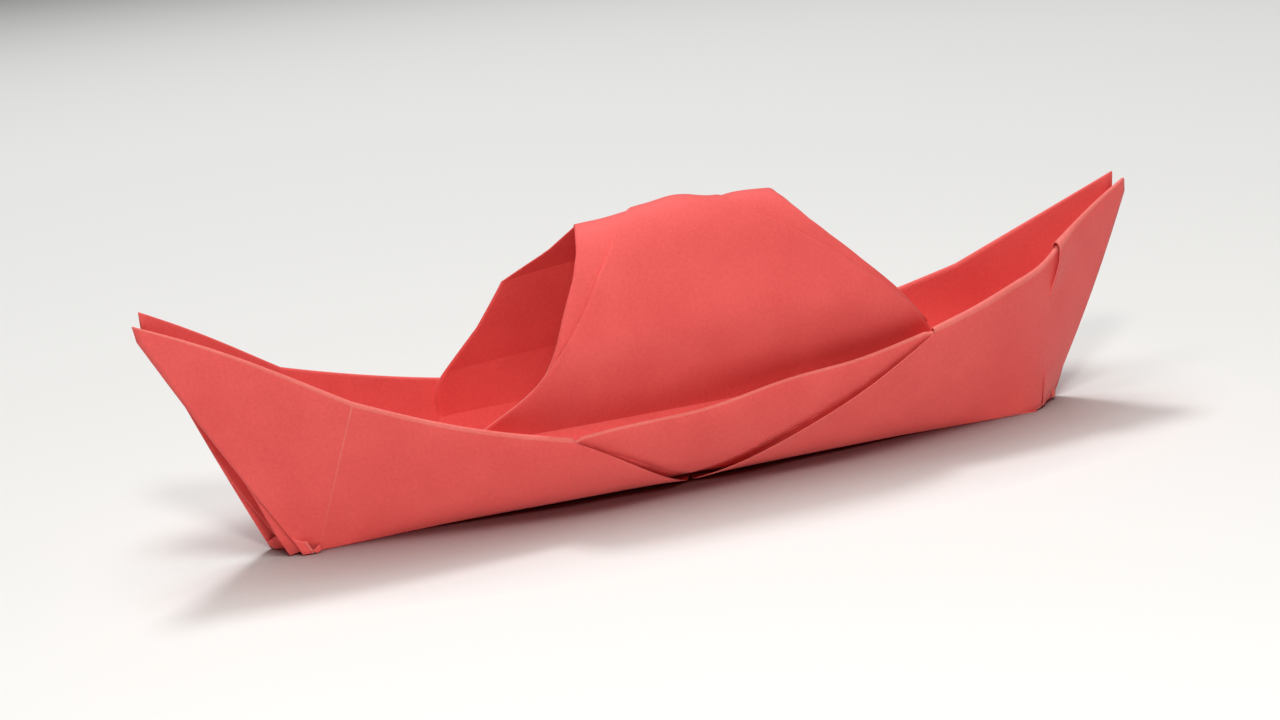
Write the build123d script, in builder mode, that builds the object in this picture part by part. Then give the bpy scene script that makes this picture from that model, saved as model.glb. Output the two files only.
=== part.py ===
from build123d import *
import math
import os

os.makedirs("parts", exist_ok=True)

# A paper boat folded from one square sheet.
# Frame: +Z up, +X along the boat to its right end, +Y to the far side.
# The origin lies under the middle of the hull, on the table. All sizes are in millimetres.

# The sheet. Its half diagonal is three hull sides deep: keel to gunwale, gunwale back
# down inside the hull, and up again as one half of the awning.
sheet_side = 150.0
hull_side = sheet_side / math.sqrt(2) / 3

# The hull outline, seen from the side and from above.
half_length = 99.0
rim_mid_z = 17.8
rim_rise = 11.1
rim_half_width = 18.2
tip_half_width = 1.2
rim_narrowing = 2.7
crease_rim_x = 68.0
crease_foot_x = 75.0
floor_mid_half = 3.0
floor_skew = 0.5
floor_flare = 2.5

# The near gunwale sags to the low corner of the panel, and runs up nearly straight from there.
near_crease_z = 28.7
near_corner_z = 15.75
near_rise_z = 23.2
near_sag = 1.0

# The four tips and the feet of the four stems, pressed by hand and so all a little different.
tip_near_left = (99.0, 45.6)
tip_far_left = (99.0, 48.0)
tip_near_right = (99.0, 45.3)
tip_far_right = (97.9, 45.6)
stem_near_left_x = 78.4
stem_far_left_x = 82.6
stem_near_right_x = 79.8
stem_far_right_x = 80.9
stem_bow = 1.2

# Paper thicknesses: single plies are far thinner, and these are the pressed stacks.
wall = 0.9
ply = 0.4
panel_depth = 0.4
lap = 0.06

# The recessed middle panel, the same on both sides: a wide V from the rim to the floor.
v_left_x = -28.7
v_right_x = 46.0
v_foot_x = -3.0

# The awning: an arch over the middle, its two flaps cut at a slant by the sheet's edges.
arch_height = 32.4
arch_crown = 5.3
arch_crown_x = 6.8
arch_foot_z = 16.0
arch_gap = 0.7
arch_half_length = 46.0
arch_tuck = 0.89
corner_x = 1.0
corner_y = 11.0

# The flaps' edges seen from the side, as (x, z): each was straight on the flat sheet, and
# sweeps out along the arch as it comes down from the ridge.
near_left = [(-45.0, 18.0), (-39.5, 23.5), (-29.0, 31.6), (-22.0, 38.9), (-15.5, 46.5), (-8.0, 53.0)]
near_right = [(46.0, 24.0), (38.6, 32.5), (30.5, 39.3), (22.5, 45.2), (15.6, 49.4), (8.5, 53.0)]
far_left = [(-46.5, 20.0), (-43.0, 28.0), (-36.8, 35.0), (-31.5, 43.3), (-18.5, 52.4)]
far_right = [(46.0, 24.0), (39.2, 33.3), (32.8, 39.7), (27.5, 44.6), (21.5, 50.7), (20.5, 53.0)]
under_low_z = 20.0
under_left = [(-33.0, 27.0), (-29.8, 31.6), (-26.8, 39.0), (-23.5, 44.6), (-21.5, 48.6), (-18.5, 52.4)]

# The ends: the inner plies stand a little proud of the outer ones at each near stem.
stem_step = 1.8
web_recess = 6.5

# The pocket at the right end, where the hull's side is tucked in. Its mouth gapes at the rim.
mouth_rim_x = 77.2
mouth_foot_x = 79.0
mouth_gape = 1.0
mouth_depth = 12.0
pocket_rise = 0.3


def rim(x, side=1):
    """Half width and height of the gunwale at a station x, from crease to crease."""
    t = min(1.0, abs(x) / half_length)
    w = tip_half_width + (rim_half_width - tip_half_width) * (1 - t**rim_narrowing)
    z = rim_mid_z + rim_rise * (x / crease_rim_x) ** 2
    if side < 0 and x < v_left_x:
        share = (x + crease_rim_x) / (v_left_x + crease_rim_x)
        z = near_crease_z + (near_corner_z - near_crease_z) * share
    elif side < 0 and x < v_right_x:
        share = (x - v_left_x) / (v_right_x - v_left_x)
        z = near_corner_z + (near_rise_z - near_corner_z) * share
        z = z - near_sag * math.exp(-((x / 12) ** 2))
    return w, z


def floor_half(u):
    """Half width of the flat bottom; it is narrow amidships and widens to both feet."""
    return floor_mid_half + floor_skew * u + floor_flare * u * u


def station_plane(u):
    """A station leans with the end creases: upright in the middle, slanted at the ends."""
    foot = Vector(u * crease_foot_x, 0, 0)
    top = Vector(u * crease_rim_x, 0, rim(u * crease_rim_x)[1])
    up = (top - foot).normalized()
    return Plane(origin=foot, x_dir=(0, 1, 0), z_dir=(up.Z, 0, -up.X))


def side_curve(u, depth, side=1):
    """Control points of one hull side, from the floor corner to the rim, sunk by depth.

    It is a straight line at the end creases and a full belly in the middle.
    """
    w, z = rim(u * crease_rim_x, side)
    h = math.hypot(z, u * (crease_foot_x - crease_rim_x))
    b = floor_half(u)
    belly = 1 - abs(u) ** 2.5
    p0 = Vector(b, -0.3)
    p3 = Vector(w, h)
    run = p3 - p0
    p1 = p0 + run * ((1 - belly) / 3) + Vector(0.42 * run.X, 0.03 * run.Y) * belly
    p2 = p3 - run * ((1 - belly) / 3) - Vector(0.06 * run.X, 0.55 * run.Y) * belly
    d0 = (p1 - p0).normalized()
    d3 = (p3 - p2).normalized()
    n0 = Vector(-d0.Y, d0.X)
    n3 = Vector(-d3.Y, d3.X)
    turn = math.atan2(d0.Y, d0.X)
    q0 = p0 + Vector(-math.tan(turn / 2), 1) * depth
    return [q0, p1 + n0 * depth, p2 + n3 * depth, p3 + n3 * depth], d3


def flip(points):
    """The same points on the other side of the centre line."""
    return [Vector(-p.X, p.Y) for p in points]


def side_pair(u, side, outer, inner, drop):
    """The outer and inner curves of one side with lowered rims, and the crest between them."""
    a, d = side_curve(u, outer, side)
    c, d = side_curve(u, inner, side)
    a[3] = a[3] - d * drop
    c[3] = c[3] - d * drop
    a[2] = a[2] - d * drop * 0.5
    c[2] = c[2] - d * drop * 0.5
    crest = (a[3] + c[3]) * 0.5 + d * ((inner - outer) / 2)
    return a, c, crest


def hull_section(u, outer, inner, drop):
    """A closed thin U: outer skin, rounded rims, inner skin. Drop lowers the rims."""
    a, c, crest = side_pair(u, 1, outer, inner, drop)
    e, g, near_crest = side_pair(u, -1, outer, inner, drop)
    e, g = flip(e), flip(g)
    with BuildSketch(station_plane(u)) as section:
        with BuildLine():
            Line(e[0], a[0])
            Bezier(*a)
            ThreePointArc(a[3], crest, c[3])
            Bezier(*reversed(c))
            Line(c[0], g[0])
            Bezier(*g)
            ThreePointArc(g[3], flip([near_crest])[0], e[3])
            Bezier(*reversed(e))
        make_face()
    return section.sketch


stations = [-1, -0.85, -0.65, -0.4, -0.15, 0.15, 0.4, 0.65, 0.85, 1]

def v_opening(left_z, right_z):
    """The V of one side, seen from the side and open at the top."""
    left_end = (v_left_x, left_z)
    right_end = (v_right_x, right_z)
    low_left = (v_foot_x - 3, 2.2)
    low_right = (v_foot_x + 3, 2.2)
    with BuildSketch(Plane.XZ) as opening:
        with BuildLine():
            ThreePointArc(left_end, (-17.5, 8.75), low_left)
            Line(low_left, low_right)
            ThreePointArc(low_right, (24, 12.0), right_end)
            Line(right_end, (v_right_x, 40))
            Line((v_right_x, 40), (v_left_x, 40))
            Line((v_left_x, 40), left_end)
        make_face()
    return opening.sketch


# The outer plies of the hull, with the V of both sides opened in them.
with BuildPart() as outer_hull:
    loft([hull_section(u, 0, wall - lap, 0) for u in stations])
    extrude(v_opening(near_corner_z - 0.3, near_rise_z - 0.6), amount=60, mode=Mode.SUBTRACT)
    extrude(v_opening(rim(v_left_x)[1] - 0.3, rim(v_right_x)[1] - 0.3), amount=-60, mode=Mode.SUBTRACT)

# The inner plies run through from end to end and show in the V as the recessed panel.
with BuildPart() as inner_hull:
    loft([hull_section(u, panel_depth, wall, 0.35) for u in stations])


def quarter(a, h):
    """Control points of a quarter of the arch: tucked in at the leg, round up to the ridge."""
    k = 0.5523
    z = arch_foot_z
    foot = Vector(arch_tuck * a, z)
    return [foot, Vector(0.98 * a, z + 0.5 * h), Vector(k * a, z + h), Vector(0, z + h)]


def creased(a, h):
    """The same quarter on the far side, flattened between two creases along the flap."""
    z = arch_foot_z
    foot = (arch_tuck * a, z)
    return [foot, (0.9 * a, z + 0.26 * h), (0.67 * a, z + 0.743 * h), (0.26 * a, z + 0.966 * h), (0, z + h)]


def arch_section(x, depth, thick, has_creases):
    """One arch of the awning: a round arch on two legs that reach the hull wall."""
    a = rim(x)[0] - wall - arch_gap - depth
    h = arch_height + arch_crown * (1 - ((x - arch_crown_x) / arch_half_length) ** 2) - depth
    u = x / (0.5 * (crease_foot_x + crease_rim_x))
    curve, _ = side_curve(u, wall * 0.55)
    t = 0.42
    k = [(1 - t) ** 3, 3 * (1 - t) ** 2 * t, 3 * (1 - t) * t * t, t**3]
    root = curve[0] * k[0] + curve[1] * k[1] + curve[2] * k[2] + curve[3] * k[3]
    toe_out = (root.X, root.Y)
    toe_in = (root.X - thick, root.Y + 0.3 * thick)
    over = quarter(a, h)
    under = quarter(a - thick, h - thick)
    with BuildSketch(Plane(origin=(x, 0, 0), x_dir=(0, 1, 0), z_dir=(1, 0, 0))) as section:
        with BuildLine():
            Line(toe_out, over[0])
            if has_creases:
                Polyline(creased(a, h))
            else:
                Bezier(*over)
            Bezier(*reversed(flip(over)))
            Line(flip(over)[0], (-toe_out[0], toe_out[1]))
            Line((-toe_out[0], toe_out[1]), (-toe_in[0], toe_in[1]))
            Line((-toe_in[0], toe_in[1]), flip(under)[0])
            Bezier(*flip(under))
            if has_creases:
                Polyline(list(reversed(creased(a - thick, h - thick))))
            else:
                Bezier(*reversed(under))
            Line(under[0], toe_in)
            Line(toe_in, toe_out)
        make_face()
    return section.sketch


def flap_side(left, right, low):
    """One side of a flap, seen from the side: two slanted edges, and legs down to low."""
    high = 60
    with BuildSketch(Plane.XZ) as outline:
        with BuildLine():
            Polyline([left[0], (left[0][0], low), (right[0][0], low), right[0]])
            Spline(right)
            Polyline([right[-1], (right[-1][0], high), (left[-1][0], high), left[-1]])
            Spline(list(reversed(left)))
        make_face()
    return outline.sketch


arch_stations = [-50, -30, -10, 10, 30, 50]

# The near flap lies on top. Its corner, a corner of the sheet, comes down behind the ridge.
with BuildPart() as near_shape:
    extrude(flap_side(near_left, near_right, 0), amount=30)
    with BuildSketch(Plane.XY):
        with BuildLine():
            ends_at = [(near_left[-1][0], 0), (corner_x, corner_y), (near_right[-1][0], 0)]
            Polyline(ends_at + [(near_right[-1][0], -1), (near_left[-1][0], -1), ends_at[0]])
        make_face()
    extrude(amount=80)

with BuildPart() as near_flap:
    loft([arch_section(x, 0, ply, False) for x in arch_stations])
    add(near_shape.part, mode=Mode.INTERSECT)

# The far flap passes under it: it shows inside the awning and as a band beside each edge.
with BuildPart() as far_shape:
    extrude(flap_side(far_left, far_right, 0), amount=-30)
    extrude(flap_side(under_left, far_right, under_low_z), amount=30)

with BuildPart() as far_flap:
    loft([arch_section(x, ply - lap, ply, True) for x in arch_stations], ruled=False)
    add(far_shape.part, mode=Mode.INTERSECT)


def end_plane(end, side, tip, depth):
    """The plane of one end panel, through its tip and its crease, sunk by depth."""
    w, z = rim(crease_rim_x * end, side)
    top = Vector(end * crease_rim_x, side * w, z)
    foot = Vector(end * crease_foot_x, side * floor_half(end), 0)
    point = Vector(end * tip[0], side * tip_half_width, tip[1])
    normal = (top - point).cross(foot - point).normalized()
    if normal.Y * side < 0:
        normal = normal * -1
    level = Plane(origin=point - normal * depth, x_dir=(foot - point).normalized(), z_dir=normal)
    return level, top, foot, point


def on_plane(level, x, z):
    """Local coordinates of the plane's point with this x and z."""
    n = level.z_dir
    o = level.origin
    y = o.Y - (n.X * (x - o.X) + n.Z * (z - o.Z)) / n.Y
    local = level.to_local_coords(Vector(x, y, z))
    return (local.X, local.Y)


def cap(end, side, tip, stem_x, depth, reach):
    """A flat end panel between its crease and the bowed stem, sunk by depth.

    Reach is how far it runs on under the hull's side, past the crease.
    """
    level, top, foot, point = end_plane(end, side, tip, depth)
    tip_at = on_plane(level, point.X, point.Z)
    stem_at = on_plane(level, end * stem_x, 0.0)
    middle_x = (point.X + end * stem_x) / 2 + end * stem_bow
    middle_at = on_plane(level, middle_x, point.Z / 2)
    outline = [
        tip_at,
        on_plane(level, top.X - end * reach, top.Z - 0.4 * reach),
        on_plane(level, foot.X - end * reach, 0.0),
        stem_at,
    ]
    with BuildSketch(level) as panel:
        with BuildLine():
            Polyline(outline)
            ThreePointArc(stem_at, middle_at, tip_at)
        make_face()
    return panel.sketch


def web(end, tip_z, stem_x):
    """The folded web that closes an end between its two sides, set back from the stem."""
    foot = Vector(end * (stem_x - web_recess), 0, 0.0)
    peak = Vector(end * (half_length - 3.0), 0, tip_z - 3.0)
    rise = (peak - foot).normalized()
    wide = floor_half(end) + 0.2
    long = (peak - foot).length
    with BuildSketch(Plane(origin=foot, x_dir=(0, 1, 0), z_dir=(rise.Z, 0, -rise.X))) as sheet:
        with BuildLine():
            Polyline([(-wide, -1), (wide, -1), (0.9, long), (-0.9, long), (-wide, -1)])
        make_face()
    return sheet.sketch


# The four end panels, two plies each, and the folded web behind each stem.
with BuildPart() as ends:
    stack = -(ply + lap)
    extrude(cap(-1, -1, tip_near_left, stem_near_left_x, 0, 0.05), amount=stack)
    extrude(cap(-1, -1, tip_near_left, stem_near_left_x + stem_step, ply, 1.0), amount=stack)
    extrude(cap(-1, 1, tip_far_left, stem_far_left_x, 0, 0.05), amount=stack)
    extrude(cap(-1, 1, tip_far_left, stem_far_left_x - stem_step, ply, 1.0), amount=stack)
    extrude(cap(1, -1, tip_near_right, stem_near_right_x, 0, 0.05), amount=stack)
    extrude(cap(1, -1, tip_near_right, stem_near_right_x, ply, 1.0), amount=stack)
    extrude(cap(1, 1, tip_far_right, stem_far_right_x, 0, 0.05), amount=stack)
    extrude(cap(1, 1, tip_far_right, stem_far_right_x + 0.9, ply, 1.0), amount=stack)
    extrude(web(-1, tip_near_left[1], stem_near_left_x), amount=-ply)
    extrude(web(1, tip_near_right[1], stem_near_right_x), amount=ply)

# The pocket over the right near panel: its own ply, a little proud, from the mouth to the stem.
level, top, foot, point = end_plane(1, -1, tip_near_right, -pocket_rise)
with BuildPart() as pocket:
    mouth_z = top.Z + (point.Z - top.Z) * (mouth_rim_x - top.X) / (point.X - top.X)
    middle_x = (point.X + stem_near_right_x) / 2 + stem_bow
    with BuildSketch(level):
        with BuildLine():
            mouth_top = on_plane(level, mouth_rim_x, mouth_z + 0.5)
            mouth_foot = on_plane(level, mouth_foot_x, 0.0)
            stem_at = on_plane(level, stem_near_right_x, 0.0)
            tip_at = on_plane(level, point.X, point.Z)
            Polyline([tip_at, mouth_top, mouth_foot, stem_at])
            ThreePointArc(stem_at, on_plane(level, middle_x, point.Z / 2), tip_at)
        make_face()
    extrude(amount=-(pocket_rise + lap))

# The gape of the mouth: a hooked wedge, widest at the rim.
with BuildPart() as gape:
    with BuildSketch(level.offset(1)):
        with BuildLine():
            outer_top = on_plane(level, mouth_rim_x + 0.1, mouth_z + 3)
            inner_top = on_plane(level, mouth_rim_x - mouth_gape, mouth_z + 3)
            inner_rim = on_plane(level, mouth_rim_x - mouth_gape, mouth_z - 1)
            down = on_plane(level, mouth_rim_x + 0.6, mouth_z - mouth_depth)
            Polyline([outer_top, inner_top, inner_rim, down, outer_top])
        make_face()
    extrude(amount=-(1 + pocket_rise + 0.25))

# The whole folded sheet, trimmed flat where it stands.
with BuildPart() as folded_sheet:
    add(inner_hull.part)
    add(outer_hull.part)
    add(ends.part)
    add(pocket.part)
    add(gape.part, mode=Mode.SUBTRACT)
    add(near_flap.part)
    add(far_flap.part)
    split(bisect_by=Plane.XY, keep=Keep.TOP)

folded_sheet.part.label = "folded_sheet"
export_step(folded_sheet.part, "parts/folded_sheet.step")
print("solids", len(folded_sheet.solids()), "volume", round(folded_sheet.part.volume, 1))
print("hull side", round(hull_side, 1), "box", folded_sheet.part.bounding_box().size)
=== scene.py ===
# %% [markdown]
# # A folded paper boat with a curved awning
#
# The real thing is one square sheet of red craft paper. It is folded into a slim hull with
# upturned ends, and two opposite corners of the sheet curl over the middle as an awning.
# Here every ply that shows is laid as its own thin sheet, because that is what the eye
# reads in paper: overlaps, rims where a ply turns over, and the dark gap under a free edge.

import math

import bmesh
import bpy
from mathutils import Matrix, Vector


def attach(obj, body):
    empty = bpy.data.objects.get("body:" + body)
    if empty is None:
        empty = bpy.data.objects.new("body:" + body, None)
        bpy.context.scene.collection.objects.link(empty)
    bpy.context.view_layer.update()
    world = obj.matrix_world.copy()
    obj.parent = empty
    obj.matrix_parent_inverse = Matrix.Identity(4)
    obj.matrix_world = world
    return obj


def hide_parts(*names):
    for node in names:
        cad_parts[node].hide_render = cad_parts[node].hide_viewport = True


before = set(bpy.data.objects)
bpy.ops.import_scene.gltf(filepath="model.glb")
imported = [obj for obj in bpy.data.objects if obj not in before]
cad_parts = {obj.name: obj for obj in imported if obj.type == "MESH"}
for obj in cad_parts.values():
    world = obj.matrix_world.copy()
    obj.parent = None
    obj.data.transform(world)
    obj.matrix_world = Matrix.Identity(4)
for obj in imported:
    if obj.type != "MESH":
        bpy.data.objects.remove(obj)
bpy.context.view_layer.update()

# %% [markdown]
# ## The lines that everything hangs on
#
# A hull could be a subdivided box pulled into shape, but a folded hull has exact lines: the
# rim, the floor's edge, the crease near each end. So the rim is a formula in millimetres, the
# same as the solid model's, and each ply is a grid that is laid onto those lines.

# %% The main sizes, in millimetres
HALF_LENGTH = 99.0
RIM_MID_Z, RIM_RISE, RISE_AT = 17.8, 11.1, 68.0
RIM_HALF, TIP_HALF, RIM_NARROWING = 18.2, 1.2, 2.7
FLOOR_MID, FLOOR_SKEW, FLOOR_FLARE = 3.0, 1.8, 2.2
WALL, PANEL_SINK = 0.9, 0.45
V_LEFT_X, V_RIGHT_X = -28.7, 46.0
V_LEFT_Z, V_RIGHT_Z = 15.6, 23.3
NEAR, FAR = -1, 1

# How far from the middle each end crease meets the rim, and the floor.
CREASE = {
    (-1, NEAR): (66.9, 74.9),
    (-1, FAR): (75.3, 77.0),
    (1, NEAR): (69.0, 73.0),
    (1, FAR): (66.2, 78.0),
}


def clamp(value, low=0.0, high=1.0):
    return max(low, min(high, value))


def smooth(value):
    value = clamp(value)
    return value * value * (3 - 2 * value)


def bump(value, middle, reach):
    """A soft hump, 1 at the middle and almost gone two reaches away."""
    return math.exp(-(((value - middle) / reach) ** 2))


def stops(angle, table):
    """Straight runs between (angle, x) stops."""
    if angle <= table[0][0]:
        return table[0][1]
    for (a0, x0), (a1, x1) in zip(table, table[1:]):
        if angle <= a1:
            return x0 + (x1 - x0) * (angle - a0) / (a1 - a0)
    return table[-1][1]


def rim(x, side):
    """Half width and height of the rim from crease to crease. The near rim sags to the V."""
    a = abs(x)
    w = TIP_HALF + (RIM_HALF - TIP_HALF) * (1 - clamp(a / HALF_LENGTH) ** RIM_NARROWING)
    z = RIM_MID_Z + RIM_RISE * (a / RISE_AT) ** 2
    if side == NEAR and x <= V_LEFT_X:
        share = (x + CREASE[-1, NEAR][0]) / (V_LEFT_X + CREASE[-1, NEAR][0])
        z = 28.1 + (V_LEFT_Z - 28.1) * share - 1.1 * math.sin(math.pi * clamp(share))
    elif side == NEAR and x < V_RIGHT_X:
        share = (x - V_LEFT_X) / (V_RIGHT_X - V_LEFT_X)
        z = V_LEFT_Z + (V_RIGHT_Z - V_LEFT_Z) * share - 1.3 * bump(x, -2, 13) - 0.9 * bump(x, 29, 12)
    elif side == NEAR:
        z += 0.4 * (1 - smooth((x - V_RIGHT_X) / 15))
    return w, z


print("rim at the middle and at two creases:", rim(0, FAR), rim(-67.5, NEAR), rim(66.2, FAR))

# %% [markdown]
# ## The side of the hull
#
# From the floor's edge to the rim, the side is a full belly amidships and dead straight at
# the end creases. One cubic curve does both when its handles are blended.

# %% A point on the hull's side


def side_point(u, v, side, sink=0.0):
    """u runs from end crease to end crease, v from floor to rim; sink goes inwards."""
    top_x, foot_x = CREASE[-1 if u < 0 else 1, side]
    w, z = rim(u * top_x, side)
    b = FLOOR_MID + FLOOR_SKEW * u + FLOOR_FLARE * u * u
    belly = 1 - abs(u) ** 2.5
    p0 = Vector((b, 0.0))
    p3 = Vector((w, z))
    run = p3 - p0
    p1 = p0 + run * ((1 - belly) / 3) + Vector((0.42 * run.x, 0.03 * run.y)) * belly
    p2 = p3 - run * ((1 - belly) / 3) - Vector((0.06 * run.x, 0.55 * run.y)) * belly
    q = 1 - v
    p = p0 * q**3 + p1 * 3 * q * q * v + p2 * 3 * q * v * v + p3 * v**3
    d = (p1 - p0) * q * q + (p2 - p1) * 2 * q * v + (p3 - p2) * v * v
    d.normalize()
    p = p + Vector((-d.y, d.x)) * sink
    x = u * (foot_x + (top_x - foot_x) * p.y / z)
    return Vector((x, side * p.x, max(p.y, sink))), Vector((0, side * d.x, d.y))


def rise_share(v):
    """How far up the side a point at v is, as a share of the rim's height."""
    return 0.09 * (1 - v) ** 2 * v + 1.35 * (1 - v) * v * v + v**3


def v_edge(v, hand):
    """The x of the panel's slanted edge at v, on its left (-1) or right (1) side."""
    share = rise_share(v)
    if hand < 0:
        return -2.0 + (V_LEFT_X + 2.0) * share**0.88
    return -5.9 + (V_RIGHT_X + 5.9) * max(share, 0.075)


def station(x, v, side):
    """The u whose leaning station passes through x at v."""
    top_x, foot_x = CREASE[-1 if x < 0 else 1, side]
    return x / (foot_x + (top_x - foot_x) * rise_share(v))


# %% [markdown]
# ## Laying a ply
#
# A flat grid is the nearest thing in Blender to a sheet of paper. Each ply starts as
# create_grid and its vertices are then carried to their folded place. Grids of one ply are
# welded where they meet, so a crease is a real edge, and Solidify gives the paper its
# thickness. The rim that Solidify makes along a free edge gets a paler material, because a
# cut edge shows the ends of the fibres. The same paler material is also laid as a painted
# highlight: on the top of each rim's roll, along one crease, and on two raw edges at the feet.

# %% Helpers that lay grids and finish a ply


# Rows of a hull ply: up the outside, over the rim, down the inside. The first four rows of
# the roll, on its outside and top, are paler: partly rubbed wear, partly a painted highlight.
OUTSIDE_ROWS, ROLL_ROWS, INSIDE_ROWS = 18, 6, 12
SIDE_ROWS = OUTSIDE_ROWS + ROLL_ROWS + INSIDE_ROWS
RUBBED_AND_LIT_ROWS = 4
ROLL_TOP = (OUTSIDE_ROWS / SIDE_ROWS, (OUTSIDE_ROWS + RUBBED_AND_LIT_ROWS) / SIDE_ROWS)
# Half a ply and a little more, so that the paper's thickness stays above the table.
TABLE_CLEARANCE = 0.14


def lay(bm, across, along, place, material=0, rubbed_and_lit=None):
    """Lays a grid; place turns its two shares, 0 to 1, into a point in millimetres.

    The last argument is the run of the second share where the paper is paler, as on the top of a rim's roll:
    partly rubbed wear, partly a painted highlight.
    """
    made = bmesh.ops.create_grid(bm, x_segments=across, y_segments=along, size=0.5)
    for face in {face for vert in made["verts"] for face in vert.link_faces}:
        share = face.calc_center_median().y + 0.5
        face.material_index = 1 if rubbed_and_lit and rubbed_and_lit[0] < share < rubbed_and_lit[1] else material
    for vert in made["verts"]:
        point = place(vert.co.x + 0.5, vert.co.y + 0.5)
        point.z = max(point.z, TABLE_CLEARANCE)
        vert.co = point * 0.001


def finish_ply(name, bm, thickness, weld=0.02, crease=35):
    """Welds the grids, gives the paper its thickness and puts the piece on the boat."""
    bmesh.ops.remove_doubles(bm, verts=bm.verts, dist=weld * 0.001)
    bmesh.ops.dissolve_degenerate(bm, edges=bm.edges, dist=1e-6)
    bmesh.ops.recalc_face_normals(bm, faces=bm.faces)
    mesh = bpy.data.meshes.new(name)
    bm.to_mesh(mesh)
    bm.free()
    for face in mesh.polygons:
        face.use_smooth = True
    mesh.set_sharp_from_angle(angle=math.radians(crease))
    piece = bpy.data.objects.new(name, mesh)
    bpy.context.scene.collection.objects.link(piece)
    shell = piece.modifiers.new("paper thickness", "SOLIDIFY")
    shell.thickness = thickness * 0.001
    shell.offset = 0
    shell.use_even_offset = True
    shell.material_offset_rim = 1
    mesh.materials.append(RED)
    mesh.materials.append(PALE_EDGE_AND_HIGHLIGHT)
    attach(piece, "root")
    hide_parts("folded_sheet")
    print(name, "has", len(mesh.polygons), "faces")


# %% [markdown]
# ## The paper
#
# Dyed craft paper is red all through. Its fibres are pressed in every direction, so light
# falls on a faint mottle a few tenths of a millimetre across, and the surface has no gloss,
# only a pale sheen at a low angle. The mottle is noise on Object coordinates, so it has the
# same scale on every ply.

# %% Colours and nodes


def hex_colour(code):
    """An sRGB hex colour as linear values, which the shader wants."""
    values = [int(code[i : i + 2], 16) / 255 for i in (1, 3, 5)]
    return [v / 12.92 if v <= 0.04045 else ((v + 0.055) / 1.055) ** 2.4 for v in values] + [1.0]


def add_node(tree, kind, links=(), **settings):
    """Adds a node; settings are sockets by name, or properties; links are (output, input)."""
    node = tree.nodes.new(kind)
    for key, value in settings.items():
        socket = key.replace("_", " ")
        if socket in node.inputs:
            node.inputs[socket].default_value = value
        else:
            setattr(node, key, value)
    for output, name in links:
        tree.links.new(output, node.inputs[name])
    return node


# %% The red craft paper


def craft_paper(name, deep, bright):
    material = bpy.data.materials.new(name)
    material.use_nodes = True
    tree = material.node_tree
    shader = tree.nodes["Principled BSDF"]
    place = add_node(tree, "ShaderNodeTexCoord").outputs["Object"]
    # Fibre flocks about 0.5 mm across, and slow changes of dye over about 12 mm.
    here = [(place, "Vector")]
    flocks = add_node(tree, "ShaderNodeTexNoise", here, Scale=1900.0, Detail=3.0, Roughness=0.6)
    clouds = add_node(tree, "ShaderNodeTexNoise", here, Scale=85.0, Detail=2.0, Roughness=0.5)
    both = [(flocks.outputs["Fac"], 0), (clouds.outputs["Fac"], 1)]
    total = add_node(tree, "ShaderNodeMath", both, operation="ADD")
    half = add_node(tree, "ShaderNodeMath", [(total.outputs[0], 0)], operation="MULTIPLY")
    half.inputs[1].default_value = 0.5
    ramp = add_node(tree, "ShaderNodeValToRGB", [(half.outputs[0], "Fac")])
    ramp.color_ramp.elements[0].position = 0.36
    ramp.color_ramp.elements[0].color = hex_colour(deep)
    ramp.color_ramp.elements[1].position = 0.64
    ramp.color_ramp.elements[1].color = hex_colour(bright)
    tree.links.new(ramp.outputs["Color"], shader.inputs["Base Color"])
    # Tooth of the paper, about 0.15 mm, drawn as a bump of a few hundredths of a millimetre.
    tooth = add_node(tree, "ShaderNodeTexNoise", here, Scale=5200.0, Detail=2.0)
    height = [(tooth.outputs["Fac"], "Height")]
    bumps = add_node(tree, "ShaderNodeBump", height, Strength=0.25, Distance=0.00004)
    tree.links.new(bumps.outputs["Normal"], shader.inputs["Normal"])
    shader.inputs["Roughness"].default_value = 0.68
    shader.inputs["IOR"].default_value = 1.45
    shader.inputs["Specular IOR Level"].default_value = 0.45
    shader.inputs["Sheen Weight"].default_value = 0.15
    shader.inputs["Sheen Roughness"].default_value = 0.5
    return material


RED = craft_paper("red craft paper, dyed through", "#EC5350", "#F7605C")
# The paler material is the cut edge's own colour, and also a painted highlight where it lies on roll tops, a
# crease and two toes.
PALE_EDGE_AND_HIGHLIGHT = craft_paper("cut edge and painted highlight of the red paper", "#EA6A62", "#F47A72")

# %% [markdown]
# ## The hull plies
#
# At the rim the outer ply turns over and runs down inside the hull, so a section through it
# is: up the outside, round the rim, down the inside. The V in each side is where the left and
# right outer plies stop short and the ply beneath shows. Their slanted edges stand a little
# off the panel, which draws the dark line above each one.

# %% Once round the hull
PLY_THICKNESS = 0.16


def slack(u):
    """How much wider the fold is at the rim than the pressed wall; most at the right end."""
    return 0.25 + 0.5 * smooth((u - 0.35) / 0.6)


def turned(u, row, side, sink, wall):
    """Row 0 is the floor's outer edge; the rows climb, turn over the rim and go down inside."""
    v = row_share(row)
    loose = slack(u)
    if row <= OUTSIDE_ROWS:
        point, up = side_point(u, v, side, sink)
        return point - up * (loose / 2) * smooth((v - 0.8) / 0.2)
    top, up = side_point(u, 1.0, side, sink)
    if row <= OUTSIDE_ROWS + ROLL_ROWS:
        inner = side_point(u, 1.0, side, sink + wall + loose)[0]
        middle = (top + inner) / 2 - up * (loose / 2)
        out = (top - inner) / 2
        return middle + out * math.cos(row_turn(row)) + up * ((wall + loose) / 2) * math.sin(row_turn(row))
    point, up = side_point(u, v, side, sink + wall + loose * smooth((v - 0.7) / 0.3))
    return point - up * (loose / 2) * smooth((v - 0.8) / 0.2)


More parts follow.
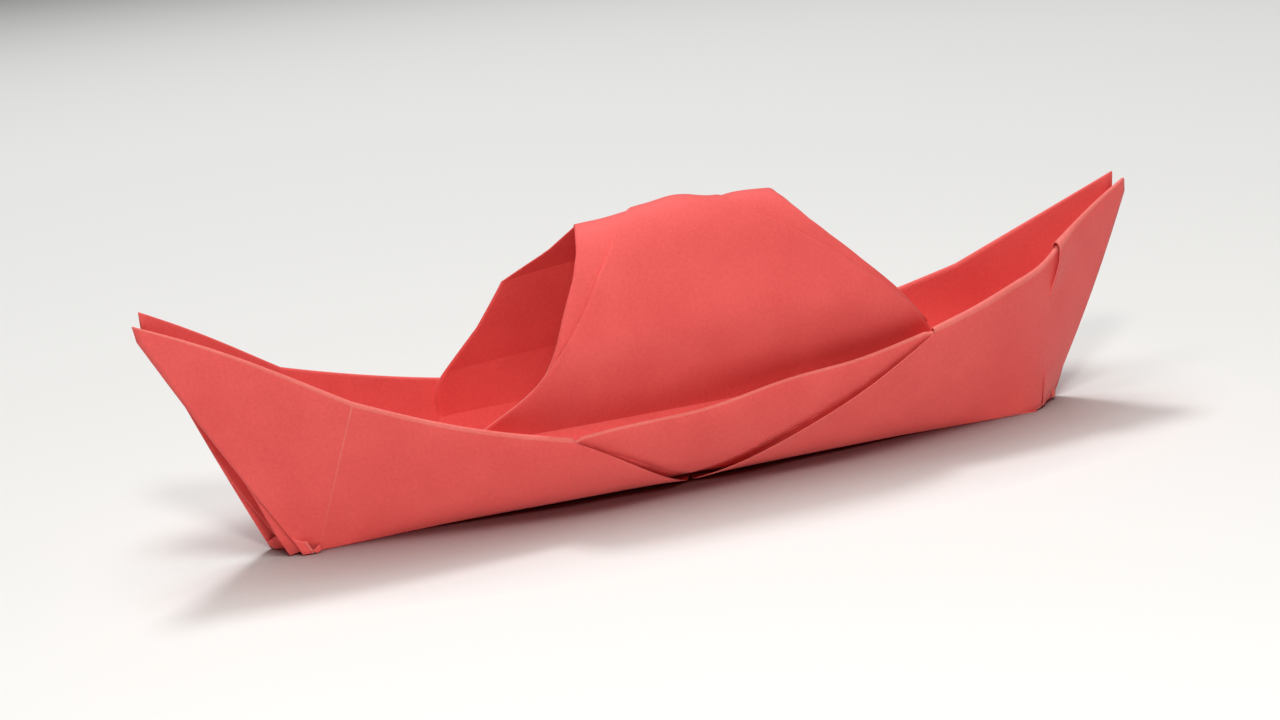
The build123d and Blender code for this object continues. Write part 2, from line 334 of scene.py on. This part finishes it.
def row_share(row):
    """How far up the side a row is, from 0 at the floor to 1 at the rim."""
    if row <= OUTSIDE_ROWS:
        return row / OUTSIDE_ROWS
    if row <= OUTSIDE_ROWS + ROLL_ROWS:
        return 1.0
    return 1 - (row - OUTSIDE_ROWS - ROLL_ROWS) / INSIDE_ROWS


def row_turn(row):
    """How far a row has turned over the rim, as an angle from 0 outside to pi inside."""
    return math.pi * clamp((row - OUTSIDE_ROWS) / ROLL_ROWS)


# %% [markdown]
# ## The ends
#
# Each end is a pair of flat panels, one a side. They share the slanted crease with the hull's
# side and nearly meet at the tip, but down the stem they stay apart. Every corner was pressed
# by hand, so the four stems differ a little, and each has its own line here.

# %% The stems
# For each end and side: foot and tip as distance from the middle, half width and height,
# then how far the line bows outwards, how far the rim bows up, and how far the second ply
# peeps out at the foot.
STEM = {
    (-1, NEAR): ((78.3, 3.9, 1.0), (102.1, 0.4, 45.7), 0.5, 1.0, 1.9),
    (-1, FAR): ((82.6, 3.1, 0.0), (100.6, 1.0, 47.9), 0.4, 0.5, -2.2),
    (1, NEAR): ((79.8, 1.4, 1.7), (100.0, 0.6, 43.5), 0.9, 0.7, 0.0),
    (1, FAR): ((80.9, 1.5, 0.6), (97.9, 0.6, 45.1), 1.2, 0.0, 0.9),
}
CAP_COLUMNS = 20


def stem_point(end, side, row, sink):
    """A point down the stem; the second ply is the one that has turned over the rim."""
    foot, tip, bow, _, peep = STEM[end, side]
    v, angle = row_share(row), row_turn(row)
    second = (1 - math.cos(angle)) / 2
    x = foot[0] + (tip[0] - foot[0]) * v + bow * math.sin(math.pi * v)
    x -= 0.9 * clamp((v - 0.95) / 0.05) ** 2
    x += peep * second * (1 - smooth(v / 0.36))
    y = foot[1] + (tip[1] - foot[1]) * v - sink - 0.55 * second
    z = foot[2] + (tip[2] - foot[2]) * v + 0.25 * math.sin(angle)
    z -= foot[2] * second * (1 - smooth(v / 0.3)) * 0.8
    return Vector((end * x, side * y, z))


def cap_point(end, side, s, row, sink, wall):
    """s runs from the crease to the stem; rows climb as on the hull's side."""
    edge = turned(float(end), row, side, sink, wall)
    point = edge.lerp(stem_point(end, side, row, sink), s)
    lift = STEM[end, side][3] * row_share(row) ** 2
    return point + Vector((0, 0, lift * math.sin(math.pi * s ** 1.2)))


# %% The smooth run at the right end
# Three ends were creased hard. On the near side of the right end the paper only bends, so
# there the hull's side and the end panel share one line, averaged over a few millimetres.
SIDE_RUN, CAP_RUN, RIM_DIP = 71.0, 28.0, 1.5


def right_near(q, row, sink, wall):
    """q is how far past the crease, in millimetres; below 0 it is on the hull's side."""
    if q < 0:
        return turned(1 + q / SIDE_RUN, row, NEAR, sink, wall)
    return cap_point(1, NEAR, q / CAP_RUN, row, sink, wall)


def eased(q, row, sink, wall, dip=0.0):
    """Dip is how far the rim sinks where it slips into the pocket."""
    reach = 7 * (1 - smooth(abs(q) / 24))
    total = Vector()
    for step, weight in ((-1, 1), (-0.5, 2), (0, 3), (0.5, 2), (1, 1)):
        total += right_near(q + step * reach, row, sink, wall) * weight
    low = dip * bump(q, 5.5, 6.5) * smooth((row_share(row) - 0.5) / 0.5)
    return total / 9 - Vector((0, 0, low))


# %% The left and right outer plies


OUTER_COLUMNS, FLOOR_ROWS = 56, 4
EDGE_LIFT, EDGE_REACH = 0.7, 5  # how far a slanted edge stands off the panel, and over what run


def outer_ply(hand):
    """hand is -1 for the left end of the boat and 1 for the right end."""
    bm = bmesh.new()

    def half(side):
        def place(s, t):
            row = t * SIDE_ROWS
            v = row_share(row)
            stop = station(v_edge(v, hand), v, side)
            u = hand + (stop - hand) * s ** 0.8
            q = (abs(u) - 1) * SIDE_RUN
            if hand > 0 and side == NEAR and q > -24:
                return eased(q, row, 0.0, WALL, RIM_DIP)
            away = abs(u - stop) * 72
            lift = EDGE_LIFT * math.exp(-away / EDGE_REACH) * math.sin(math.pi * v) ** 0.6
            return turned(u, row, side, -lift, WALL + lift)

        return place

    def floor(level):
        def place(s, t):
            stop = v_edge(0, hand) / 76
            u = hand + (stop - hand) * s ** 0.8
            return side_point(u, 0, NEAR, level)[0].lerp(side_point(u, 0, FAR, level)[0], t)

        return place

    for side in (NEAR, FAR):
        lay(bm, OUTER_COLUMNS, SIDE_ROWS, half(side), rubbed_and_lit=ROLL_TOP)
    for level in (0.0, WALL):
        lay(bm, OUTER_COLUMNS, FLOOR_ROWS, floor(level))
    return bm


left_bm = outer_ply(-1)
right_bm = outer_ply(1)

# %% The inner ply, which shows in the panels
INNER_COLUMNS, INNER_REACH = 260, 0.97
inner_bm = bmesh.new()


def slot(x, v):
    """Just behind a slanted edge the ply falls away, so one looks down into a deep fold."""
    left, right = x - v_edge(v, -1), v_edge(v, 1) - x
    return 0.8 * (bump(left, -1.2, 2.6) + bump(right, -1.2, 2.6)) * math.sin(math.pi * clamp(v)) ** 0.6


def inner_half(side):
    def place(s, t):
        row = t * SIDE_ROWS
        v = row_share(row)
        u = -INNER_REACH + 2 * INNER_REACH * s
        x = u * (CREASE[-1 if u < 0 else 1, side][0] * v + 75 * (1 - v))
        point = turned(u, row, side, PANEL_SINK + slot(x, v), 0.42)
        hidden = 1 - smooth((x - V_LEFT_X) / 2) * smooth((V_RIGHT_X - x) / 2)
        point.z -= 0.5 * hidden * v ** 4
        return point

    return place


def inner_floor(s, t):
    u = -INNER_REACH + 2 * INNER_REACH * s
    return side_point(u, 0, NEAR, PANEL_SINK)[0].lerp(side_point(u, 0, FAR, PANEL_SINK)[0], t)


for side in (NEAR, FAR):
    lay(inner_bm, INNER_COLUMNS, SIDE_ROWS, inner_half(side), rubbed_and_lit=ROLL_TOP)
lay(inner_bm, INNER_COLUMNS, FLOOR_ROWS, inner_floor)

# %% The four end panels
# A hard crease breaks the fibres and its ridge catches the light, so a strip a quarter of a millimetre wide
# is paler there: partly wear, partly a painted highlight.
PALE_CREASE_STRIP = 0.25


def end_panel(bm, end, side, crease_strip):
    share = crease_strip / 31
    if crease_strip:
        lay(bm, 1, SIDE_ROWS, lambda s, t: cap_point(end, side, share * s, t * SIDE_ROWS, 0.0, WALL), 1)

    def rest(s, t):
        return cap_point(end, side, share + (1 - share) * s, t * SIDE_ROWS, 0.0, WALL)

    lay(bm, CAP_COLUMNS, SIDE_ROWS, rest, rubbed_and_lit=ROLL_TOP)


end_panel(left_bm, -1, NEAR, PALE_CREASE_STRIP)
end_panel(left_bm, -1, FAR, 0.0)
end_panel(right_bm, 1, FAR, 0.0)


def smooth_panel(s, t):
    return eased(CAP_RUN * s, t * SIDE_ROWS, 0.0, WALL, RIM_DIP)


lay(right_bm, CAP_COLUMNS, SIDE_ROWS, smooth_panel, rubbed_and_lit=ROLL_TOP)

# %% [markdown]
# At the right end the hull's side is tucked into a pocket of the end panel. The mouth of the
# pocket stands open round the rim, which is the small dark hook there. Below that its edge
# lies so close that it can't be seen, and it parts again near the foot.

# %% The pocket at the right end


# How far past the crease the pocket's edge lies, by how far up the side.
MOUTH = [(0, 8.6), (0.12, 7.2), (0.3, 6.4), (0.7, 6.2), (0.95, 8.3), (1, 8.6)]


def pocket(s, t):
    row = t * SIDE_ROWS
    v = row_share(row)
    start = stops(v, MOUTH) / CAP_RUN
    mouth = smooth((v - 0.7) / 0.22)
    toe_gap = smooth((0.3 - v) / 0.2)
    gap = 0.16 + (1.0 * mouth + 0.3 * toe_gap - 0.3 * (1 - mouth) * (1 - toe_gap)) * (1 - s) ** 4
    share = start + (1.0 - start) * s
    dip = RIM_DIP * (0.65 * mouth + 1 - mouth)
    return eased(CAP_RUN * share, row, -gap, WALL + 2 * gap, dip) + Vector((0.12 * s, 0, 0))


lay(right_bm, 26, SIDE_ROWS, pocket, rubbed_and_lit=ROLL_TOP)
finish_ply("left_ply", left_bm, PLY_THICKNESS, crease=7)
finish_ply("right_ply", right_bm, PLY_THICKNESS, crease=14)
finish_ply("inner_ply", inner_bm, PLY_THICKNESS, crease=40)

# %% The web between the two sides of each end, and the small turned corners at the feet
web_bm = bmesh.new()
WEB_DEPTH = 7.0


def web(end):
    def place(s, t):
        near = stem_point(end, NEAR, t * 0.84 * OUTSIDE_ROWS, 0.7)
        far = stem_point(end, FAR, t * 0.84 * OUTSIDE_ROWS, 0.7)
        return near.lerp(far, s) + Vector((-end * WEB_DEPTH * (1 - 0.6 * t), 0, 0.1))

    return place


def toe(a, b, c, d, material=0):
    """A small folded corner: a patch between four points."""
    a, b, c, d = Vector(a), Vector(b), Vector(c), Vector(d)
    lay(web_bm, 4, 4, lambda s, t: a.lerp(b, s).lerp(d.lerp(c, s), t), material)


for end in (-1, 1):
    lay(web_bm, 3, 12, web(end))
# The two corners given material 1 are thin strips along raw edges in the paler material: a painted highlight.
toe((-79.6, -3.5, 3.4), (-77.5, -4.5, 2.6), (-76.4, -4.9, 0.3), (-78.0, -4.5, 0.2))
toe((-77.5, -4.6, 2.6), (-77.1, -4.75, 2.7), (-76.0, -5.0, 0.4), (-76.4, -4.95, 0.3), 1)
toe((-76.2, -4.9, 0.7), (-74.9, -4.6, 1.5), (-74.6, -4.5, 0.5), (-75.4, -4.8, 0.1))
toe((-83.2, 2.6, 1.6), (-81.0, 1.5, 3.0), (-79.6, 1.2, 0.1), (-82.0, 2.2, 0.1))
toe((79.5, -2.5, 3.4), (80.9, -1.4, 2.6), (80.1, -1.6, 0.9), (79.3, -2.3, 0.9))
toe((80.1, -1.9, 1.5), (80.6, -1.7, 1.5), (80.2, -1.8, 0.7), (79.7, -2.1, 0.7), 1)
finish_ply("stem_web", web_bm, PLY_THICKNESS)

# %% [markdown]
# ## The awning
#
# Two corners of the sheet rise from inside the hull and curl over until they lap. Paper bends
# one way only, so the arch has the same curve all along it, and a free edge of the flap,
# which was straight and at 45 degrees on the flat sheet, sweeps down and outwards on it. An
# edge is given as a few stops: the arch's angle, and the x there.

# %% The arch
ARCH_HEIGHT, ARCH_CROWN, ARCH_CROWN_X = 32.4, 5.3, 6.8
ARCH_FOOT_Z, ARCH_GAP = 16.0, 0.7
FOOT_RIGHT_X = 46.0
LEG = 30.0


def ridge_wave(x):
    """The small humps and dips of the ridge, where two plies are pressed together by hand."""
    return 0.6 * bump(x, 1.5, 4.0) - 0.75 * bump(x, 9.0, 3.5) - 0.4 * bump(x, -13, 5)


def v_at(z, u, side):
    """How far up the hull's side the height z is."""
    low, high = 0.2, 1.0
    for _ in range(9):
        v = (low + high) / 2
        if side_point(u, v, side, WALL)[0].z < z:
            low = v
        else:
            high = v
    return low


def arch_point(x, angle, sink, flatness=None):
    """angle 0 is the near foot, 90 the ridge, 180 the far foot; past either end is the leg."""
    side = NEAR if angle < 90 else FAR
    half = rim(x, FAR)[0] - WALL - ARCH_GAP - sink
    height = ARCH_HEIGHT + ARCH_CROWN * (1 - ((x - ARCH_CROWN_X) / FOOT_RIGHT_X) ** 2) - sink
    from_foot = min(angle, 180 - angle)
    rise = math.radians(max(0.0, from_foot))
    half *= 1 - (0.4 if side == NEAR else 0.05) * (1 - smooth(from_foot / 32))
    flat = 1.0 if flatness is None else flatness(angle)
    y = half * flat * math.cos(rise)
    z = ARCH_FOOT_Z + height * flat * math.sin(rise) + ridge_wave(x) * bump(angle, 98, 15)
    if from_foot < 0:
        u = station(x, 0.8, side)
        share = -from_foot / LEG
        top_v = v_at(ARCH_FOOT_Z, u, side)
        wall_top = side_point(u, top_v, side, WALL + 0.3)[0]
        wall = side_point(u, top_v + (0.42 - top_v) * share, side, WALL + 0.3)[0]
        y = abs(wall.y) + (y - abs(wall_top.y)) * (1 - share) ** 2
        z = wall.z + (z - wall_top.z) * (1 - share) ** 2
    return Vector((x, side * y, z))


NEAR_LEFT = [(-30, -48), (0, -47), (4, -43.6), (8, -39.8), (12, -36.1), (16, -33.3), (24, -29.5), (32, -25.8)]
NEAR_LEFT += [(40, -22.2), (60, -15.5), (95, -7), (132, 1)]
NEAR_RIGHT = [(-30, 51), (5, 50.3), (12, 48), (20, 44.2), (28, 39.2), (40, 30.7), (52, 22.5), (63, 15.6)]
NEAR_RIGHT += [(72, 11), (107, 8), (132, 1.4)]
FAR_LEFT = [(14, -33), (26, -29.8), (39, -26.8), (52, -23.5), (64, -21.5), (88, -19.3), (105, -18)]
FAR_LEFT += [(118, -22.6), (132, -31.5), (148, -36.8), (168, -46), (210, -47)]
FAR_RIGHT = [(14, 47.6), (20, 44.7), (28, 40.4), (40, 33.7), (51, 28.3), (60, 24.8), (69, 22.6), (80, 21)]
FAR_RIGHT += [(92, 20.8), (101, 21.2)]
FAR_RIGHT += [(111, 22.5), (129, 28), (140, 32.8), (166, 46), (210, 47)]

# %% The two flaps
# The far flap was creased along its length, so between two creases it is a flat facet.
FAR_CREASES = (164.0, 132.0, 105.0)


def facet(angle):
    for high, low in zip(FAR_CREASES, FAR_CREASES[1:]):
        if low <= angle <= high:
            middle, half = math.radians((high + low) / 2), math.radians((high - low) / 2)
            return math.cos(half) / math.cos(math.radians(angle) - middle)
    return 1.0


def flap(bm, turns, left_table, right_table, sink, flatness=None, across=72):
    """turns lists the angles where a crease may lie, each with the rows up to the next."""
    for (start, rows), (stop, _) in zip(turns, turns[1:]):
        def place(s, t):
            angle = start + (stop - start) * t
            left, right = stops(angle, left_table), stops(angle, right_table)
            return arch_point(left + (right - left) * s, angle, sink, flatness)

        lay(bm, across, rows, place)


near_bm = bmesh.new()
flap(near_bm, [(-26, 12), (0, 48), (131.9, 0)], NEAR_LEFT, NEAR_RIGHT, 0.0)
finish_ply("near_flap", near_bm, 0.26, crease=25)

far_bm = bmesh.new()
far_turns = [(206, 10), (180, 6), (164, 10), (132, 9), (105, 34), (14, 0)]
flap(far_bm, far_turns, FAR_LEFT, FAR_RIGHT, 0.4, facet)
finish_ply("far_flap", far_bm, 0.18, crease=8)

# %% [markdown]
# ## The set
#
# A plain pale table that runs on as the backdrop, soft light from above and a little behind,
# and a camera where the photographer stood. Its place was worked out from the tips, the feet
# and the rim of the boat.

# %% The table
floor_mesh = bpy.data.meshes.new("table")
floor_bm = bmesh.new()
bmesh.ops.create_grid(floor_bm, x_segments=1, y_segments=1, size=4.0)
floor_bm.to_mesh(floor_mesh)
floor_bm.free()
table = bpy.data.objects.new("table", floor_mesh)
bpy.context.scene.collection.objects.link(table)
white = bpy.data.materials.new("white table board, matt")
white.use_nodes = True
white.node_tree.nodes["Principled BSDF"].inputs["Roughness"].default_value = 0.9
white.node_tree.nodes["Principled BSDF"].inputs["Specular IOR Level"].default_value = 0.1
# The lamps alone leave the shadow in front of the hull much paler than in the photo. So this
# band is drawn, not cast: ambient occlusion darkens the board's own colour within 34 mm of
# the paper, and only for the camera, so that it takes no light away from the boat.
board = white.node_tree
shade = add_node(board, "ShaderNodeAmbientOcclusion", Distance=0.034, samples=12)
seen = add_node(board, "ShaderNodeLightPath")
open_air = add_node(board, "ShaderNodeMapRange", [(shade.outputs["AO"], "Value")])
open_air.inputs["From Min"].default_value = 0.25
open_air.inputs["From Max"].default_value = 0.97
shut_in = add_node(board, "ShaderNodeMath", [(open_air.outputs[0], 1)], operation="SUBTRACT")
shut_in.inputs[0].default_value = 1.0
parts = [(shut_in.outputs[0], 0), (seen.outputs["Is Camera Ray"], 1)]
amount = add_node(board, "ShaderNodeMath", parts, operation="MULTIPLY")
tone = add_node(board, "ShaderNodeValToRGB", [(amount.outputs[0], "Fac")])
tone.color_ramp.elements[0].color = hex_colour("#EEEEEC")
tone.color_ramp.elements[1].color = hex_colour("#6E484A")
board.links.new(tone.outputs["Color"], board.nodes["Principled BSDF"].inputs["Base Color"])
floor_mesh.materials.append(white)

# %% The light
world = bpy.data.worlds.new("soft room light")
bpy.context.scene.world = world
world.use_nodes = True
world.node_tree.nodes["Background"].inputs["Color"].default_value = hex_colour("#F6F5F2")
world.node_tree.nodes["Background"].inputs["Strength"].default_value = 0.1


LAMP_AIM = (0, 0, 0.01)


def soft_lamp(name, place, size, watts, colour):
    lamp = bpy.data.lights.new(name, "AREA")
    lamp.shape = "DISK"
    lamp.size = size
    lamp.energy = watts
    lamp.color = hex_colour(colour)[:3]
    holder = bpy.data.objects.new(name, lamp)
    bpy.context.scene.collection.objects.link(holder)
    holder.location = place
    direction = Vector(LAMP_AIM) - Vector(place)
    holder.rotation_euler = direction.to_track_quat("-Z", "Y").to_euler()


# In the photo the stems throw short shadows back and a little outwards. Traced back, they meet
# at a small lamp just over the camera. Here it is kept weak, so those shadows come out paler.
# The strengths are a compromise: more light from behind deepens the shadow in
# front of the hull, but leaves the near side too dark.
soft_lamp("small lamp over the camera", (-0.11, -0.33, 0.32), 0.07, 0.66, "#FFFDF8")
soft_lamp("ceiling lamp in front", (0.0, -0.75, 2.1), 0.7, 15.0, "#FFFEFC")
soft_lamp("ceiling lamp behind", (0.1, 0.7, 2.1), 0.7, 5.0, "#FFFFFF")
soft_lamp("window high up behind", (0.1, 1.15, 2.0), 0.45, 22.0, "#FDFDFF")
soft_lamp("light from the left", (-1.2, -0.5, 2.0), 0.6, 5.0, "#FFFFFF")

# %% The camera
YAW, DIP, ROLL, AWAY = math.radians(18.85), math.radians(14.49), math.radians(5.36), 391.32
SHIFT_X, SHIFT_Y, FOCAL_PIXELS = 8.26, -22.3, 2001.0
right = Vector((1, 0, 0))
up = Vector((0, math.sin(DIP), math.cos(DIP)))
ahead = Vector((0, math.cos(DIP), -math.sin(DIP)))
eye = -SHIFT_X * right - SHIFT_Y * up - AWAY * ahead
tilted_right = right * math.cos(ROLL) - up * math.sin(ROLL)
tilted_up = right * math.sin(ROLL) + up * math.cos(ROLL)
turn = Matrix.Rotation(-YAW, 3, "Z")
lens = bpy.data.cameras.new("camera")
lens.sensor_width = 36.0
lens.lens = 36.0 * FOCAL_PIXELS / 1280
lens.clip_start = 0.01
camera = bpy.data.objects.new("camera", lens)
bpy.context.scene.collection.objects.link(camera)
axes = Matrix((turn @ tilted_right, turn @ tilted_up, turn @ -ahead)).transposed()
camera.matrix_world = Matrix.Translation(turn @ eye * 0.001) @ axes.to_4x4()
bpy.context.scene.camera = camera
bpy.context.scene.view_settings.view_transform = "Standard"
